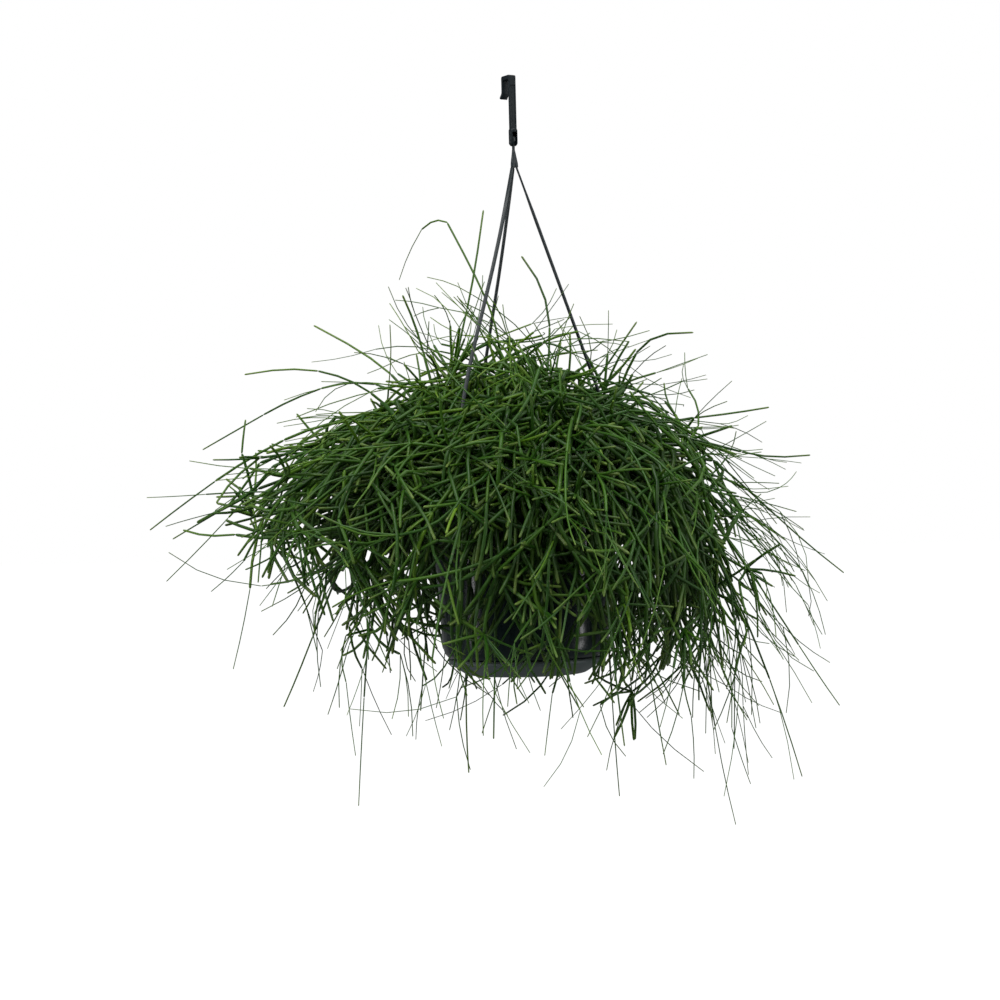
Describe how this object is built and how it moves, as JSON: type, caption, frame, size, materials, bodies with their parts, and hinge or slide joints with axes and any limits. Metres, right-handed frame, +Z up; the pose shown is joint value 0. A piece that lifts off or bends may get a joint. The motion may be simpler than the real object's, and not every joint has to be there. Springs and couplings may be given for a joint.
{
  "type": "mistletoe cactus in a hanging pot",
  "caption": "Hanging pot on a swivel hook and stranded hanger, with a drip saucer and a spreading, trailing plant of thin forking stems.",
  "frame": {"origin": "middle of the hook's seat, the flat underside of its top bar, where the rod it hangs on bears", "axes": "+Z up along the way it hangs; +X towards the side where the stems hang in a heavy mass; -X towards the side where they spread almost level"},
  "size_m": [0.4862, 0.4323, 0.533],
  "materials": {
    "hook_plastic": "charcoal moulded plastic, satin",
    "hanger_plastic": "charcoal moulded plastic, satin",
    "pot_plastic": "near-black moulded plastic, semi-gloss, dusty low down",
    "saucer_plastic": "dark grey moulded plastic, satin",
    "soil": "dark crumbly peat and bark potting mix",
    "stem": "smooth waxy living stems, dark green inside and yellow-green at the tips"
  },
  "bodies": {
    "hook": {"hook": "hook_plastic"},
    "basket": {"hanger_hub": "hanger_plastic", "hanger_strand_1": "hanger_plastic", "hanger_strand_2": "hanger_plastic", "hanger_strand_3": "hanger_plastic", "pot": "pot_plastic", "saucer": "saucer_plastic", "soil": "soil", "plant_clump_1": "stem", "plant_clump_2": "stem", "plant_clump_3": "stem", "plant_clump_4": "stem", "plant_clump_5": "stem", "plant_clump_6": "stem", "plant_clump_7": "stem"}
  },
  "joints": [
    {"name": "swivel", "type": "hinge", "parent": "hook", "child": "basket", "pos_m": [0.00238, -0.00382, -0.0442], "axis": [0, 0, 1], "continuous": true}
  ]
}
